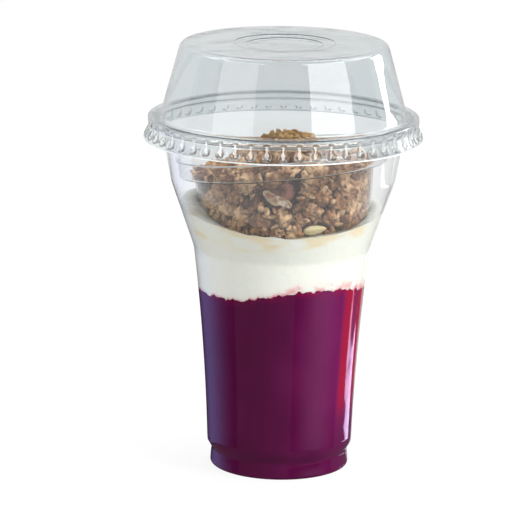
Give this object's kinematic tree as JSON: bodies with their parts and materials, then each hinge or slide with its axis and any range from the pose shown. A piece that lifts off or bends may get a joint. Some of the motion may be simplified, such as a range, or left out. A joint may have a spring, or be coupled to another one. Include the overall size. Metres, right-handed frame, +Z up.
{
  "type": "plastic cup with lid",
  "caption": "Tall clear dessert cup with a dome lid, holding dark berry puree, white yogurt and a small tilted inner tub of granola.",
  "frame": {"origin": "middle of the foot ring's resting plane, on the cup's axis", "axes": "+Z up along the cup's axis; -Y towards the viewer, on the side where the yogurt stands lowest; +X to the viewer's right"},
  "size_m": [0.0995, 0.0994, 0.1539],
  "materials": {
    "cup_plastic": "clear thermoformed plastic, glossy",
    "lid_plastic": "clear thermoformed plastic with a faint blue-grey tint, glossy",
    "tub_plastic": "clear thermoformed plastic, glossy",
    "berry_puree": "wet dark purple-red puree",
    "yogurt": "thick off-white yogurt, satin",
    "granola": "toasted oat clusters, matt",
    "seed": "pale green-yellow seed, satin",
    "nut": "brown nut skin, satin"
  },
  "bodies": {
    "cup": {"cup": "cup_plastic", "granola_tub": "tub_plastic", "berry_layer": "berry_puree", "yogurt_layer": "yogurt", "granola_heap": "granola", "pumpkin_seed": "seed", "nut_kernel": "nut"},
    "lid": {"lid": "lid_plastic"}
  },
  "joints": [
    {"name": "lid_lift", "type": "slide", "parent": "cup", "child": "lid", "axis": [0, 0, 1], "range_m": [0, 0.06]}
  ]
}
